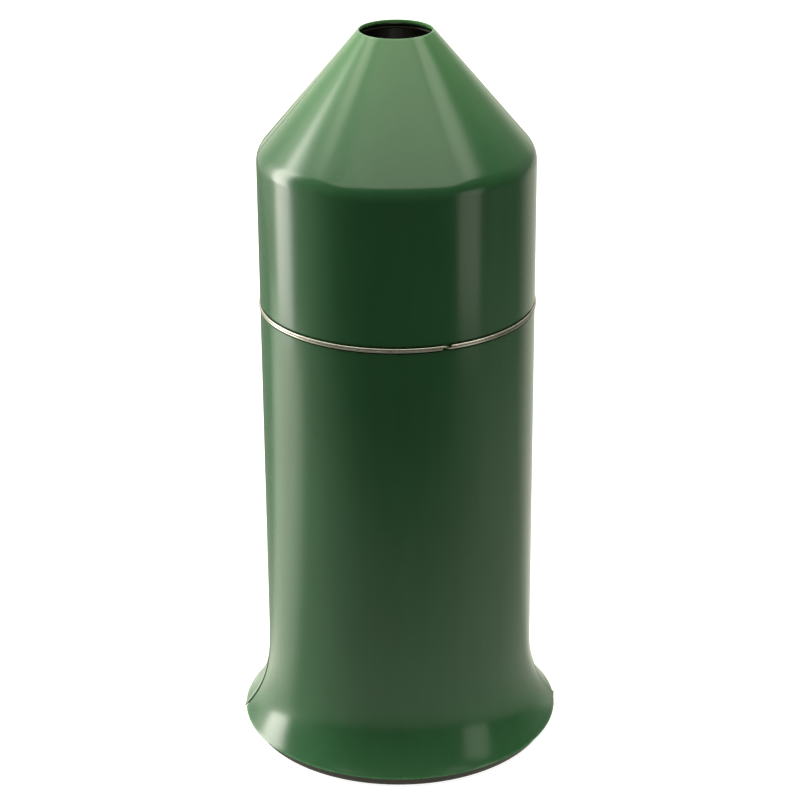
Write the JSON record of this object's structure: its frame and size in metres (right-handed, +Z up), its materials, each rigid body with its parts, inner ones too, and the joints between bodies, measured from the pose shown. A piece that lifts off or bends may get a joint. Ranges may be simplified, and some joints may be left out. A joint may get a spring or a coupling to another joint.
{
  "type": "pheromone insect trap",
  "caption": "Upright pheromone insect trap: clamped half shells with a conical top, flared bottom, sticky liners and a hanging lure.",
  "frame": {"origin": "on the trap's axis, at the level of the floor it stands on", "axes": "+Z up along the trap's axis, -Y towards the front half, +X to the right seen from the front; the seam is turned 5 degrees about +Z from +X"},
  "size_m": [0.132, 0.1314, 0.2987],
  "materials": {
    "green_plastic": "glossy moulded plastic",
    "glue_coated_liner": "dark brown plastic with a glue film on the inside",
    "spring_steel": "drawn bright spring wire",
    "septum_rubber": "matt moulded rubber"
  },
  "bodies": {
    "rear_half": {"rear_shell": "green_plastic"},
    "rear_insert": {"rear_liner": "glue_coated_liner", "lure_hanger": "spring_steel"},
    "lure": {"lure_pin": "spring_steel", "lure_septum": "septum_rubber"},
    "front_half": {"front_shell": "green_plastic"},
    "front_insert": {"front_liner": "glue_coated_liner"},
    "ring": {"clamp_ring": "spring_steel"}
  },
  "joints": [
    {"name": "front_half_off", "type": "slide", "parent": "rear_half", "child": "front_half", "axis": [0.0872, -0.9962, 0], "range_m": [0, 0.16]},
    {"name": "front_liner_out", "type": "slide", "parent": "front_half", "child": "front_insert", "axis": [-0.0872, 0.9962, 0], "range_m": [0, 0.056]},
    {"name": "rear_liner_out", "type": "slide", "parent": "rear_half", "child": "rear_insert", "axis": [0.0872, -0.9962, 0], "range_m": [0, 0.056]},
    {"name": "ring_off", "type": "slide", "parent": "rear_half", "child": "ring", "axis": [0, 0, 1], "range_m": [0, 0.13], "deforming": ["clamp_ring"]},
    {"name": "lure_swing", "type": "hinge", "parent": "rear_insert", "child": "lure", "pos_m": [0, 0, 0.228], "axis": [0.9962, 0.0872, 0], "range_deg": [-45, 45]}
  ],
  "couplings": [
    {"joint": "front_liner_out", "follows": "front_half_off", "ratio": 0.35},
    {"joint": "rear_liner_out", "follows": "front_half_off", "ratio": 0.35}
  ]
}
